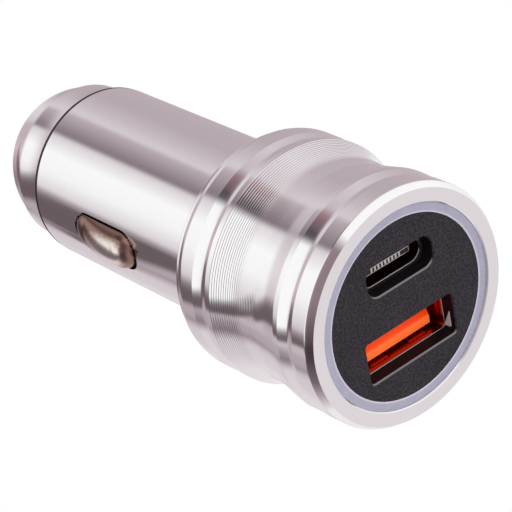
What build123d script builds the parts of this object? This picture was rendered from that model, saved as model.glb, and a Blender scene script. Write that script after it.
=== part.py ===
from build123d import *

import os
from math import hypot

os.makedirs("parts", exist_ok=True)

# Two-port charger plug for a car's 12 volt socket, in millimetres, lying along Y.
# The port face looks along -Y and the tail points along +Y. The larger port lies below
# the axis and the smaller one above it. The origin is on the axis, in the back face of
# the stop flange, which meets the rim of the socket.

# Plug barrel, with the stop flange and the spigot that the head is pressed on
barrel_diameter = 21.2
barrel_length = 31.1
barrel_wall = 1.0
flange_diameter = 27.2
flange_thickness = 0.9
flange_edge_round = 0.12
spigot_length = 6.0

# Turned head: front band, bell-shaped waist and rear collar
head_length = 21.8
band_diameter = 27.8
waist_diameter = 26.1
collar_diameter = 28.4
rim_chamfer_depth = 0.55
rim_chamfer_length = 0.85
band_land = 2.05
band_groove_length = 2.3
band_lip = 0.7
collar_lip = 0.7
collar_groove_length = 2.2
collar_land = 2.7
collar_edge_round = 0.5
groove_depth = 0.24

# Face plate and the light ring round it
face_recess = 0.3
face_diameter = 21.1
plate_thickness = 1.8
plate_skirt_wall = 0.75
light_ring_width = 1.1
port_edge_chamfer = 0.15

# Port openings and the connectors behind them, whose mouths are a lip smaller all round
usb_a_width = 12.6
usb_a_height = 5.0
usb_a_drop = 4.0
usb_a_corner = 0.5
usb_a_lip = 0.15
usb_c_width = 9.4
usb_c_height = 3.7
usb_c_rise = 5.1
usb_c_corner = 1.4
usb_c_lip = 0.4
connector_wall = 0.3
usb_a_tongue_recess = 3.05
usb_a_tongue_width = 10.6
usb_a_tongue_thickness = 1.8
usb_a_tongue_gap = 0.45
usb_a_nose_height = 0.85
usb_a_nose_slope = 0.36
usb_a_pin_width = 1.0
usb_a_pin_positions = (-3.5, -1.0, 1.0, 3.5)
usb_c_tongue_recess = 2.1
usb_c_tongue_width = 6.7
usb_c_tongue_thickness = 0.7
usb_c_pin_width = 0.26
usb_c_pin_pitch = 0.5
usb_c_pins_per_side = 12
pin_thickness = 0.15
pin_setback = 0.6
connector_back = 2.0
grip_setback = 0.6
grip_length = 3.6
grip_width = 2.5
grip_rise = 0.3
grip_spread = 5.6
grip_side_drop = 0.8

# Circuit boards and what is soldered on them
board_thickness = 1.2
board_slot_depth = 0.5
board_waist_half_width = 6.6
led_size = (1.6, 0.7, 0.8)
led_count = 6
inductor_size = (7.0, 7.0, 4.6)
inductor_corner = 1.2
inductor_y = 0.0
chip_size = (3.9, 4.9, 1.5)
chip_legs_per_side = 4
chip_leg_pitch = 1.27
chip_leg_width = 0.42
chip_leg_reach = 1.0
chip_leg_height = 0.25
chip_y = -1.0
capacitor_radius = 3.1
capacitor_height = 5.6
capacitor_foot_width = 6.5
capacitor_foot_height = 0.8
capacitor_edge = 0.5
output_capacitor_y = 9.0
input_capacitor_y = 8.0
small_capacitor_size = (2.0, 1.25, 1.0)
small_capacitor_pitch = 2.6
small_capacitor_count = 3
small_capacitor_y = 16.5

# Carrier sleeve inside the barrel
carrier_wall = 1.1
lug_thickness = 1.1
lug_length = 2.0
carrier_end_land = 0.8

# Side contacts: pill-shaped slots and the sprung pads that stand out of them
slot_length = 11.85
slot_width = 5.2
slot_clearance = 0.25
pad_nose_clearance = 0.45
pad_rise = 1.65
pad_peak_from_nose = 3.0
pad_nose_drop = 2.0
pad_under_depth = 1.55
pad_edge_round = 1.2
pad_sheet = 0.45
leaf_width = 3.0
leaf_thickness = 0.45
bead_radius = 0.55
bead_length = 3.2
bead_depth = 1.8
bead_from_slot = 0.7

# Tail: insulator, cap, sprung centre contact
insulator_plug_length = 5.0
gasket_thickness = 0.4
gasket_recess = 0.03
cap_length = 10.55
cap_root_step = 0.25
cap_band_taper = 0.875
cap_band_length = 4.55
cap_band_hollow = 0.22
cap_groove = 0.12
cap_nose_diameter = 11.2
cap_dome_fullness = 0.85
cap_wall = 2.3
cap_end_wall = 3.4
nose_wall = 1.0
contact_diameter = 5.6
contact_stub = 0.9
contact_travel = 2.5
contact_tip_round = 1.9
contact_collar_radius = 4.2
contact_collar_thickness = 1.2
contact_boss_radius = 2.2
contact_boss_length = 1.5
insulator_shoulder = 0.9
spring_wire = 0.7
spring_flat_count = 8
spring_turns = 5
terminal_from_plug = 1.5
terminal_thickness = 0.6
terminal_tab_width = 3.0
terminal_tab_length = 3.0

# Fits
press_gap = 0.02
slip_gap = 0.1
running_gap = 0.1
seat_gap = 0.1

# Radii worked out from those sizes
barrel_r = barrel_diameter / 2
barrel_bore_r = barrel_r - barrel_wall
flange_r = flange_diameter / 2
band_r = band_diameter / 2
waist_r = waist_diameter / 2
collar_r = collar_diameter / 2
face_r = face_diameter / 2
light_ring_in_r = face_r + press_gap
light_ring_out_r = light_ring_in_r + light_ring_width
head_bore_r = light_ring_out_r + press_gap
spigot_r = head_bore_r - press_gap
port_board_r = head_bore_r - slip_gap
carrier_r = barrel_bore_r - slip_gap
carrier_bore_r = carrier_r - carrier_wall
contact_r = contact_diameter / 2
pin_bore_r = contact_r + running_gap
nose_r = pin_bore_r + nose_wall
spring_bore_r = contact_collar_radius + running_gap
cap_root_r = barrel_r - cap_root_step
cap_edge_r = cap_root_r - cap_band_taper
cap_bore_r = cap_root_r - cap_wall

# Places along the axis
head_back = -flange_thickness
head_front = head_back - head_length
band_groove_front = head_front + rim_chamfer_length + band_land
band_groove_back = band_groove_front + band_groove_length
band_back = band_groove_back + band_lip
collar_groove_back = head_back - collar_land
collar_groove_front = collar_groove_back - collar_groove_length
collar_front = collar_groove_front - collar_lip
face_y = head_front + face_recess
plate_back = face_y + plate_thickness
port_board_back = head_back - spigot_length
port_board_front = port_board_back - board_thickness
usb_a_tongue_front = face_y + usb_a_tongue_recess
usb_c_tongue_front = face_y + usb_c_tongue_recess
connector_back_y = port_board_front - connector_back
insulator_front = barrel_length - insulator_plug_length
gasket_back = barrel_length + gasket_thickness
cap_end = gasket_back + cap_length
contact_tip = cap_end + contact_stub + contact_travel
cap_floor = cap_end - cap_end_wall
shoulder_y = cap_floor - insulator_shoulder
slot_end = insulator_front - carrier_end_land - lug_length / 2 - bead_from_slot
slot_start = slot_end - slot_length


def across(y):
    """Plane across the axis at y, as seen from the face: x is X, y is Z, outwards is -Y."""
    return Plane(origin=(0, y, 0), x_dir=(1, 0, 0), z_dir=(0, -1, 0))


def finish(builder, name):
    """Label a finished piece and write it to its own file."""
    builder.part.label = name
    export_step(builder.part, f"parts/{name}.step")


# Head shell, turned from aluminium bar: chamfered front rim, band with a shallow
# groove, hollow-curved waist, then the collar with the same groove
with BuildPart() as head_shell:
    with BuildSketch(Plane.XY):
        with BuildLine():
            Polyline(
                (collar_r, head_back),
                (head_bore_r, head_back),
                (head_bore_r, head_front),
                (band_r - rim_chamfer_depth, head_front),
                (band_r, head_front + rim_chamfer_length),
                (band_r, band_groove_front),
            )
            ThreePointArc(
                (band_r, band_groove_front),
                (band_r - groove_depth, (band_groove_front + band_groove_back) / 2),
                (band_r, band_groove_back),
            )
            Line((band_r, band_groove_back), (band_r, band_back))
            ThreePointArc(
                (band_r, band_back),
                (waist_r, (band_back + collar_front) / 2),
                (collar_r, collar_front),
            )
            Line((collar_r, collar_front), (collar_r, collar_groove_front))
            ThreePointArc(
                (collar_r, collar_groove_front),
                (collar_r - groove_depth, (collar_groove_front + collar_groove_back) / 2),
                (collar_r, collar_groove_back),
            )
            Line((collar_r, collar_groove_back), (collar_r, head_back))
        make_face()
    revolve(axis=Axis.Y)
    back_edges = head_shell.edges().filter_by(GeomType.CIRCLE).group_by(Axis.Y)[-1]
    fillet(back_edges.sort_by(SortBy.RADIUS)[-1], radius=collar_edge_round)
finish(head_shell, "head_shell")

# Barrel tube, turned with its stop flange and spigot, and slotted on both sides
with BuildPart() as barrel_tube:
    with BuildSketch(Plane.XY):
        Polygon(
            (barrel_bore_r, port_board_back),
            (spigot_r, port_board_back),
            (spigot_r, head_back),
            (flange_r, head_back),
            (flange_r, 0),
            (barrel_r, 0),
            (barrel_r, barrel_length),
            (barrel_bore_r, barrel_length),
            align=None,
        )
    revolve(axis=Axis.Y)
    flange_edges = barrel_tube.edges().filter_by(GeomType.CIRCLE).group_by(SortBy.RADIUS)[-1]
    fillet(flange_edges, radius=flange_edge_round)
    with BuildSketch(Plane.YZ):
        with Locations((slot_start + slot_length / 2, 0)):
            SlotOverall(slot_length, slot_width)
    extrude(amount=flange_r, both=True, mode=Mode.SUBTRACT)
finish(barrel_tube, "barrel_tube")

# Tail insulator, one moulding: plug in the barrel, thin flange that shows as a dark
# line, stub that carries the cap, and nose tube that guides the centre contact
with BuildPart() as tail_insulator:
    with BuildSketch(Plane.XY):
        Polygon(
            (spring_bore_r, insulator_front),
            (barrel_bore_r - slip_gap, insulator_front),
            (barrel_bore_r - slip_gap, barrel_length),
            (barrel_r - gasket_recess, barrel_length),
            (barrel_r - gasket_recess, gasket_back),
            (cap_bore_r - press_gap, gasket_back),
            (cap_bore_r - press_gap, cap_floor),
            (nose_r, cap_floor),
            (nose_r, cap_end),
            (pin_bore_r, cap_end),
            (pin_bore_r, shoulder_y),
            (spring_bore_r, shoulder_y),
            align=None,
        )
    revolve(axis=Axis.Y)
finish(tail_insulator, "tail_insulator")

# Tail cap: slightly hollow tapered band, fine groove, domed nose with a hole for the tube
with BuildPart() as tail_cap:
    groove_front = gasket_back + cap_band_length
    groove_back = groove_front + 2 * cap_groove
    nose_r_out = cap_nose_diameter / 2
    dome_mid_r = (cap_edge_r + nose_r_out) / 2
    dome_mid_y = (groove_back + cap_end) / 2
    dome_chord = hypot(cap_edge_r - nose_r_out, cap_end - groove_back)
    with BuildSketch(Plane.XY):
        with BuildLine():
            Polyline(
                (nose_r_out, cap_end),
                (nose_r + press_gap, cap_end),
                (nose_r + press_gap, cap_floor),
                (cap_bore_r, cap_floor),
                (cap_bore_r, gasket_back),
                (cap_root_r, gasket_back),
            )
            ThreePointArc(
                (cap_root_r, gasket_back),
                ((cap_root_r + cap_edge_r) / 2 - cap_band_hollow, gasket_back + cap_band_length / 2),
                (cap_edge_r, groove_front),
            )
            Polyline(
                (cap_edge_r, groove_front),
                (cap_edge_r - cap_groove, (groove_front + groove_back) / 2),
                (cap_edge_r, groove_back),
            )
            ThreePointArc(
                (cap_edge_r, groove_back),
                (
                    dome_mid_r + cap_dome_fullness * (cap_end - groove_back) / dome_chord,
                    dome_mid_y + cap_dome_fullness * (cap_edge_r - nose_r_out) / dome_chord,
                ),
                (nose_r_out, cap_end),
            )
        make_face()
    revolve(axis=Axis.Y)
finish(tail_cap, "tail_cap")

# Centre contact: plated pin with a rounded tip, a collar that stops it in the
# insulator and a boss that centres the spring
collar_front_y = shoulder_y - seat_gap
collar_back_y = collar_front_y - contact_collar_thickness
with BuildPart() as centre_contact:
    with BuildSketch(Plane.XY):
        Polygon(
            (0, collar_back_y - contact_boss_length),
            (contact_boss_radius, collar_back_y - contact_boss_length),
            (contact_boss_radius, collar_back_y),
            (contact_collar_radius, collar_back_y),
            (contact_collar_radius, collar_front_y),
            (contact_r, collar_front_y),
            (contact_r, contact_tip),
            (0, contact_tip),
            align=None,
        )
    revolve(axis=Axis.Y)
    tip_edges = centre_contact.edges().filter_by(GeomType.CIRCLE).group_by(Axis.Y)[-1]
    fillet(tip_edges, radius=contact_tip_round)
finish(centre_contact, "centre_contact")

# Positive terminal: brass disc pressed into the insulator, with a tab on the board
terminal_back = insulator_front + terminal_from_plug
terminal_front = terminal_back + terminal_thickness
with BuildPart() as positive_terminal:
    with BuildSketch(across(terminal_front)):
        Circle(spring_bore_r - press_gap)
    extrude(amount=terminal_thickness)
    with BuildSketch(across(terminal_front)):
        with Locations((0, board_thickness / 2 + terminal_thickness / 2)):
            Rectangle(terminal_tab_width, terminal_thickness)
    extrude(amount=terminal_thickness + terminal_from_plug + terminal_tab_length)
finish(positive_terminal, "positive_terminal")

# Contact spring between the terminal and the contact's collar, its round wire drawn with flats
spring_r = (contact_boss_radius + spring_bore_r) / 2
spring_start = terminal_front + spring_wire / 2 + press_gap
spring_end = collar_back_y - spring_wire / 2 - press_gap
with BuildPart() as contact_spring:
    with BuildLine() as spring_path:
        Helix(
            pitch=(spring_end - spring_start) / spring_turns,
            height=spring_end - spring_start,
            radius=spring_r,
            center=(0, spring_start, 0),
            direction=(0, 1, 0),
        )
    with BuildSketch(Plane(spring_path.line @ 0, z_dir=spring_path.line % 0)):
        RegularPolygon(spring_wire / 2, spring_flat_count)
    sweep(path=spring_path.line, is_frenet=True)
finish(contact_spring, "contact_spring")

# Side contacts: stamped pads, domed along and across, on a short leaf with a rolled
# root. The root sits in a groove of the carrier, so the pad springs in about it.
pad_tail_y = slot_end - slot_clearance
pad_nose_y = slot_start + pad_nose_clearance
pad_peak_y = pad_nose_y + pad_peak_from_nose
pad_under_x = barrel_r - pad_under_depth
pad_width = slot_width - 2 * slot_clearance
bead_x = barrel_r - bead_depth
bead_y = slot_end + bead_from_slot


def pad_form(inset):
    """One pad, pulled in all round by the sheet's thickness for its hollow underside."""
    tail = (barrel_r - inset, pad_tail_y - inset)
    peak = (barrel_r + pad_rise - inset, pad_peak_y)
    nose = (barrel_r + pad_rise - pad_nose_drop - inset, pad_nose_y + inset)
    with BuildPart() as pad:
        with BuildSketch(Plane.XY):
            with BuildLine():
                TangentArc(peak, tail, tangent=(0, 1))
                TangentArc(peak, nose, tangent=(0, -1))
                Polyline(nose, (pad_under_x, nose[1]), (pad_under_x, tail[1]), tail)
            make_face()
        extrude(amount=pad_width, both=True)
        with BuildSketch(Plane.YZ):
            with Locations(((pad_nose_y + pad_tail_y) / 2, 0)):
                SlotOverall(pad_tail_y - pad_nose_y - 2 * inset, pad_width - 2 * inset)
        extrude(amount=2 * barrel_r, mode=Mode.INTERSECT)
    return pad.part


with BuildPart() as ground_contact_right:
    add(pad_form(0))
    rim_edges = ground_contact_right.faces().filter_by(GeomType.PLANE).sort_by(Axis.X)[0].edges()
    side_edges = ground_contact_right.edges().filter_by(Axis.X)
    top_edges = [e for e in ground_contact_right.edges() if e not in rim_edges + side_edges]
    fillet(top_edges, radius=pad_edge_round)
    add(pad_form(pad_sheet), mode=Mode.SUBTRACT)
    with BuildSketch(Plane.XY):
        with Locations((pad_under_x, (pad_tail_y - 2 * pad_sheet + bead_y) / 2)):
            Rectangle(leaf_thickness, bead_y - pad_tail_y + 2 * pad_sheet)
    extrude(amount=leaf_width / 2, both=True)
    with BuildSketch(Plane.XY):
        with Locations((bead_x, bead_y)):
            Circle(bead_radius)
    extrude(amount=bead_length / 2, both=True)
finish(ground_contact_right, "ground_contact_right")

with BuildPart() as ground_contact_left:
    mirror(ground_contact_right.part, about=Plane.YZ)
finish(ground_contact_left, "ground_contact_left")

# Board carrier: plastic sleeve with two board slots, a window for each side contact
# and a lug with the groove that holds the contact's rolled root
lug_start = bead_y - lug_length / 2
with BuildPart() as board_carrier:
    with BuildSketch(across(insulator_front)):
        Circle(carrier_r)
        Circle(carrier_bore_r, mode=Mode.SUBTRACT)
    extrude(amount=insulator_front - port_board_back)
    with BuildSketch(across(lug_start)):
        with Locations((carrier_bore_r - lug_thickness / 2, 0), (lug_thickness / 2 - carrier_bore_r, 0)):
            Rectangle(lug_thickness + carrier_wall, slot_width + 2 * carrier_wall)
        Circle(carrier_r, mode=Mode.INTERSECT)
    extrude(amount=-lug_length)
    with BuildSketch(across(insulator_front)):
        Rectangle(2 * (carrier_bore_r + board_slot_depth), board_thickness + slip_gap)
        Rectangle(2 * (carrier_bore_r - lug_thickness), board_thickness + slip_gap)
    extrude(amount=insulator_front - port_board_back, mode=Mode.SUBTRACT)
    with BuildSketch(Plane.YZ):
        with Locations(((slot_start + lug_start) / 2, 0)):
            Rectangle(lug_start - slot_start, slot_width)
    extrude(amount=barrel_r, both=True, mode=Mode.SUBTRACT)
    with BuildSketch(Plane.XY):
        for side in (-1, 1):
            with Locations((side * bead_x, bead_y)):
                Circle(bead_radius + running_gap)
            with Locations((side * (bead_x + barrel_wall), bead_y)):
                Rectangle(2 * barrel_wall, 2 * (bead_radius + running_gap))
            with Locations((side * (bead_x + barrel_wall / 2), (lug_start + bead_y) / 2)):
                Rectangle(2 * (bead_radius + running_gap) + barrel_wall, bead_y - lug_start)
    extrude(amount=bead_length / 2 + slot_clearance, both=True, mode=Mode.SUBTRACT)
finish(board_carrier, "board_carrier")

# Main board, full width where the carrier's slots hold it and narrow between the contacts
board_half_width = carrier_bore_r + board_slot_depth - slip_gap
board_step = slot_start - slot_clearance
board_end = insulator_front - seat_gap
with BuildPart() as circuit_board:
    with BuildSketch(Plane.XY.offset(-board_thickness / 2)):
        Polygon(
            (-board_half_width, port_board_back),
            (board_half_width, port_board_back),
            (board_half_width, board_step),
            (board_waist_half_width, board_step),
            (board_waist_half_width, board_end),
            (-board_waist_half_width, board_end),
            (-board_waist_half_width, board_step),
            (-board_half_width, board_step),
            align=None,
        )
    extrude(amount=board_thickness)
finish(circuit_board, "circuit_board")

# Power inductor: moulded block on top of the board
with BuildPart() as power_inductor:
    with BuildSketch(Plane.XY.offset(board_thickness / 2)):
        with Locations((0, inductor_y)):
            RectangleRounded(inductor_size[0], inductor_size[1], inductor_corner)
    extrude(amount=inductor_size[2])
finish(power_inductor, "power_inductor")


def can_capacitor(base_z, y, up):
    """Round can on a square foot, standing on the board's top or hanging under it."""
    with BuildPart() as can:
        with BuildSketch(Plane(origin=(0, y, base_z), x_dir=(1, 0, 0), z_dir=(0, 0, up))):
            Rectangle(capacitor_foot_width, capacitor_foot_width)
        extrude(amount=capacitor_foot_height)
        with BuildSketch(Plane(origin=(0, y, base_z), x_dir=(1, 0, 0), z_dir=(0, 0, up))):
            Circle(capacitor_radius)
        extrude(amount=capacitor_height)
        top_edge = can.edges().filter_by(GeomType.CIRCLE).sort_by(Axis.Z)[-1 if up > 0 else 0]
        fillet(top_edge, radius=capacitor_edge)
    return can


output_capacitor = can_capacitor(board_thickness / 2, output_capacitor_y, 1)
finish(output_capacitor, "output_capacitor")
input_capacitor = can_capacitor(-board_thickness / 2, input_capacitor_y, -1)
finish(input_capacitor, "input_capacitor")

# Controller chip under the board: moulded body with two rows of legs
with BuildPart() as controller_chip:
    with BuildSketch(Plane.XY.offset(-board_thickness / 2 - chip_leg_height / 2)):
        with Locations((0, chip_y)):
            Rectangle(chip_size[0], chip_size[1])
    extrude(amount=-chip_size[2])
    with BuildSketch(Plane.XY.offset(-board_thickness / 2)):
        with Locations((0, chip_y)):
            with GridLocations(0, chip_leg_pitch, 1, chip_legs_per_side):
                Rectangle(chip_size[0] + 2 * chip_leg_reach, chip_leg_width)
    extrude(amount=-chip_leg_height)
finish(controller_chip, "controller_chip")

# Small ceramic capacitors in a row on top of the board
with BuildPart() as ceramic_capacitors:
    with BuildSketch(Plane.XY.offset(board_thickness / 2)):
        with Locations((0, small_capacitor_y)):
            with GridLocations(small_capacitor_pitch, 0, small_capacitor_count, 1):
                Rectangle(small_capacitor_size[1], small_capacitor_size[0])
    extrude(amount=small_capacitor_size[2])
finish(ceramic_capacitors, "ceramic_capacitors")

# Port board across the head, on the end of the spigot
with BuildPart() as port_board:
    with BuildSketch(across(port_board_back)):
        Circle(port_board_r)
    extrude(amount=board_thickness)
finish(port_board, "port_board")

# Lamps on the port board, behind the light ring
with BuildPart() as status_lamps:
    with BuildSketch(across(port_board_front)):
        with PolarLocations((light_ring_in_r + light_ring_out_r) / 2 - slip_gap, led_count):
            Rectangle(led_size[1], led_size[0])
    extrude(amount=led_size[2])
finish(status_lamps, "status_lamps")

# Light ring: clear tube from the lamps to the face
with BuildPart() as light_ring:
    with BuildSketch(across(port_board_front - led_size[2] - seat_gap)):
        Circle(light_ring_out_r)
        Circle(light_ring_in_r, mode=Mode.SUBTRACT)
    extrude(amount=port_board_front - led_size[2] - seat_gap - face_y)
finish(light_ring, "light_ring")

# Face plate: black moulding with both port openings and a skirt down to the port board
with BuildPart() as face_plate:
    with BuildSketch(across(port_board_front)):
        Circle(face_r)
    extrude(amount=port_board_front - face_y)
    with BuildSketch(across(port_board_front)):
        Circle(face_r - plate_skirt_wall)
    extrude(amount=port_board_front - plate_back, mode=Mode.SUBTRACT)
    with BuildSketch(across(face_y)):
        with Locations((0, -usb_a_drop)):
            RectangleRounded(usb_a_width, usb_a_height, usb_a_corner)
        with Locations((0, usb_c_rise)):
            RectangleRounded(usb_c_width, usb_c_height, usb_c_corner)
    extrude(amount=-plate_thickness, mode=Mode.SUBTRACT)
    front = face_plate.faces().filter_by(GeomType.PLANE).sort_by(Axis.Y)[0]
    chamfer(front.inner_wires().edges(), length=port_edge_chamfer)
finish(face_plate, "face_plate")

# Larger port: steel shell with bowed grip leaves cut out of its floor and side walls,
# moulded tongue near the floor with its back block, four contact strips on top of it
usb_a_mouth_width = usb_a_width - 2 * usb_a_lip
usb_a_mouth_height = usb_a_height - 2 * usb_a_lip
usb_a_floor = -usb_a_drop - usb_a_mouth_height / 2
grip_planes = []
for side in (-1, 1):
    on_floor = (side * grip_spread / 2, plate_back + grip_setback, usb_a_floor)
    on_wall = (side * usb_a_mouth_width / 2, plate_back + grip_setback, -usb_a_drop - grip_side_drop)
    grip_planes.append(Plane(origin=on_floor, x_dir=(0, 1, 0), z_dir=(1, 0, 0)))
    grip_planes.append(Plane(origin=on_wall, x_dir=(0, 1, 0), z_dir=(0, 0, side)))
with BuildPart() as usb_a_shell:
    with BuildSketch(across(port_board_front)):
        with Locations((0, -usb_a_drop)):
            RectangleRounded(
                usb_a_mouth_width + 2 * connector_wall,
                usb_a_mouth_height + 2 * connector_wall,
                usb_a_corner + connector_wall,
            )
            RectangleRounded(usb_a_mouth_width, usb_a_mouth_height, usb_a_corner, mode=Mode.SUBTRACT)
    extrude(amount=port_board_front - plate_back)
    for plane in grip_planes:
        with BuildSketch(plane):
            with Locations((grip_length / 2, -connector_wall / 2)):
                Rectangle(grip_length, connector_wall)
        extrude(amount=grip_width / 2 + slip_gap, both=True, mode=Mode.SUBTRACT)
        with BuildSketch(plane):
            Polygon(
                (slip_gap, -connector_wall),
                (grip_length / 2, grip_rise - connector_wall),
                (grip_length, -connector_wall),
                (grip_length, 0),
                (grip_length / 2, grip_rise),
                (slip_gap, 0),
                align=None,
            )
        extrude(amount=grip_width / 2, both=True)
finish(usb_a_shell, "usb_a_shell")

usb_a_tongue_under = usb_a_floor + usb_a_tongue_gap
usb_a_tongue_top = usb_a_tongue_under + usb_a_tongue_thickness
with BuildPart() as usb_a_tongue:
    with BuildSketch(across(port_board_front)):
        with Locations((0, -usb_a_drop)):
            RectangleRounded(
                usb_a_mouth_width - 2 * press_gap, usb_a_mouth_height - 2 * press_gap, usb_a_corner
            )
    extrude(amount=connector_back)
    with BuildSketch(Plane.YZ):
        Polygon(
            (connector_back_y, usb_a_tongue_under),
            (usb_a_tongue_front, usb_a_tongue_under),
            (usb_a_tongue_front, usb_a_tongue_under + usb_a_nose_height),
            (usb_a_tongue_front + usb_a_nose_slope, usb_a_tongue_top),
            (connector_back_y, usb_a_tongue_top),
            align=None,
        )
    extrude(amount=usb_a_tongue_width / 2, both=True)
finish(usb_a_tongue, "usb_a_tongue")

with BuildPart() as usb_a_contacts:
    with BuildSketch(across(connector_back_y)):
        with Locations(*[(x, usb_a_tongue_top + pin_thickness / 2) for x in usb_a_pin_positions]):
            Rectangle(usb_a_pin_width, pin_thickness)
    extrude(amount=connector_back_y - usb_a_tongue_front - usb_a_nose_slope - pin_setback)
finish(usb_a_contacts, "usb_a_contacts")

# Smaller port: round-ended shell, thin tongue on the middle with pads on both sides
usb_c_mouth_width = usb_c_width - 2 * usb_c_lip
usb_c_mouth_height = usb_c_height - 2 * usb_c_lip
with BuildPart() as usb_c_shell:
    with BuildSketch(across(port_board_front)):
        with Locations((0, usb_c_rise)):
            SlotOverall(
                usb_c_mouth_width + 2 * connector_wall, usb_c_mouth_height + 2 * connector_wall
            )
            SlotOverall(usb_c_mouth_width, usb_c_mouth_height, mode=Mode.SUBTRACT)
    extrude(amount=port_board_front - plate_back)
finish(usb_c_shell, "usb_c_shell")

with BuildPart() as usb_c_tongue:
    with BuildSketch(across(port_board_front)):
        with Locations((0, usb_c_rise)):
            SlotOverall(usb_c_mouth_width - 2 * press_gap, usb_c_mouth_height - 2 * press_gap)
    extrude(amount=connector_back)
    with BuildSketch(across(connector_back_y)):
        with Locations((0, usb_c_rise)):
            Rectangle(usb_c_tongue_width, usb_c_tongue_thickness)
    extrude(amount=connector_back_y - usb_c_tongue_front)
finish(usb_c_tongue, "usb_c_tongue")

with BuildPart() as usb_c_contacts:
    with BuildSketch(across(connector_back_y)):
        with Locations((0, usb_c_rise)):
            with GridLocations(
                usb_c_pin_pitch, usb_c_tongue_thickness + pin_thickness, usb_c_pins_per_side, 2
            ):
                Rectangle(usb_c_pin_width, pin_thickness)
    extrude(amount=connector_back_y - usb_c_tongue_front - pin_setback)
finish(usb_c_contacts, "usb_c_contacts")
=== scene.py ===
from math import cos, hypot, pi, radians, sin

import bmesh
import bpy
from mathutils import Matrix, Vector


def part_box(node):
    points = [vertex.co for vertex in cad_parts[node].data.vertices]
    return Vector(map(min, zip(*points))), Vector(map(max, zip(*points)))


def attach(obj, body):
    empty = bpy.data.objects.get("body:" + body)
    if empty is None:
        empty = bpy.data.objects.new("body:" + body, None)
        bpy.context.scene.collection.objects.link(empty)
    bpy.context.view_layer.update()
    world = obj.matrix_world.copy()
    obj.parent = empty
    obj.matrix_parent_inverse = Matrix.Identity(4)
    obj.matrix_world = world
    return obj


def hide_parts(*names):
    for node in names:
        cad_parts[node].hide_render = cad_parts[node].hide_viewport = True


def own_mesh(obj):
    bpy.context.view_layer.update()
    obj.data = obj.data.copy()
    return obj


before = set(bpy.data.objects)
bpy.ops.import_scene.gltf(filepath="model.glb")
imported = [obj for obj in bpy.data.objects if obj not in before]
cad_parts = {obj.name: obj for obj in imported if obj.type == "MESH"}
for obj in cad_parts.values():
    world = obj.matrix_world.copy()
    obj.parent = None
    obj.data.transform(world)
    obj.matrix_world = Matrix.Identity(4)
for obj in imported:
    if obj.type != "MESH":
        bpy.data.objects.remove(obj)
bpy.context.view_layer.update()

# Head shell: the waisted grip, turned in one piece from aluminium bar. A shallow groove runs
# round the front band and the rear collar, and fine rings fade out along the waist. It is
# bored for the face and the light ring, and pressed on the barrel's spigot.
mm = 0.001
head_low, head_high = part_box("head_shell")
head_front, head_back = head_low.y, head_high.y
collar_radius = head_high.x
band_radius = collar_radius - 0.3 * mm
waist_radius = collar_radius - 1.15 * mm
fit_gap = 0.02 * mm
head_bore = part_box("light_ring")[1].x + fit_gap
bore_break = 0.18 * mm
rim_chamfer_depth = 0.55 * mm
rim_chamfer_length = 0.85 * mm
band_groove_front = head_front + rim_chamfer_length + 2.05 * mm
band_groove_back = band_groove_front + 2.3 * mm
band_back = band_groove_back + 0.7 * mm
collar_groove_back = head_back - 2.7 * mm
collar_groove_front = collar_groove_back - 2.2 * mm
collar_front = collar_groove_front - 0.7 * mm
waist_middle = (band_back + collar_front) / 2 + 0.45 * mm
waist_front_slope = -0.21
waist_back_slope = 0.45
groove_depth = 0.24 * mm
groove_wall_share = 0.36
groove_round = 0.15 * mm
groove_lip_depth = 0.04 * mm
groove_lip_length = 0.15 * mm
ring_pitch = 0.275 * mm
ring_count = 31
ring_depth = 0.019 * mm
ring_cut_share = 0.86
ring_fade_count = 22
ring_crease = radians(12)
back_slope_length = 0.7 * mm
back_slope_depth = 0.19 * mm
edge_round = 0.06 * mm
smooth_steps = 12
turn_steps = 240
turn_crease = radians(40)
weld_reach = 0.0005 * mm


def eased(first, last, y):
    """Radius at y on the smooth curve between two (radius, y, slope) points."""
    (r1, y1, slope1), (r2, y2, slope2) = first, last
    share = (y - y1) / (y2 - y1)
    rest = 1 - share
    ends = r1 * rest * rest * (1 + 2 * share) + r2 * share * share * (1 + 2 * rest)
    return ends + (y2 - y1) * share * rest * (slope1 * rest - slope2 * share)


def groove(radius, front, back):
    """Outline points of a turned groove, with a short front wall and a long rear slope."""
    bottom = front + groove_wall_share * (back - front)
    return [
        (radius, front, edge_round),
        (radius - groove_depth, bottom, groove_round),
        (radius - groove_lip_depth, back - groove_lip_length, 0),
        (radius, back, edge_round),
    ]


def make_piece(shape, name, crease=turn_crease):
    """Turn a finished bmesh into a smooth piece that keeps edges sharper than the crease."""
    bmesh.ops.remove_doubles(shape, verts=shape.verts, dist=weld_reach)
    bmesh.ops.recalc_face_normals(shape, faces=shape.faces)
    for face in shape.faces:
        face.smooth = True
    mesh = bpy.data.meshes.new(name)
    shape.to_mesh(mesh)
    shape.free()
    mesh.set_sharp_from_angle(angle=crease)
    piece = bpy.data.objects.new(name, mesh)
    bpy.context.scene.collection.objects.link(piece)
    return piece


def turned(name, outline, crease=turn_crease):
    """Spin a closed outline of (radius, y, corner round) points about the plug's axis."""
    shape = bmesh.new()
    points = [shape.verts.new((radius, y, 0)) for radius, y, corner in outline]
    for start, end in zip(points, points[1:] + points[:1]):
        if start.co.x or end.co.x:
            shape.edges.new((start, end))
    for size in sorted({corner for radius, y, corner in outline if corner}):
        corners = [point for point, (radius, y, corner) in zip(points, outline) if corner == size]
        bmesh.ops.bevel(
            shape, geom=corners, offset=size, affect="VERTICES", segments=4, profile=0.5, material=-1
        )
    bmesh.ops.spin(
        shape, geom=shape.verts[:] + shape.edges[:], cent=(0, 0, 0), axis=(0, 1, 0),
        angle=2 * pi, steps=turn_steps, use_merge=True,
    )
    piece = make_piece(shape, name, crease)
    piece.modifiers.new("even_shading", "WEIGHTED_NORMAL").keep_sharp = True
    return piece


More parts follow.
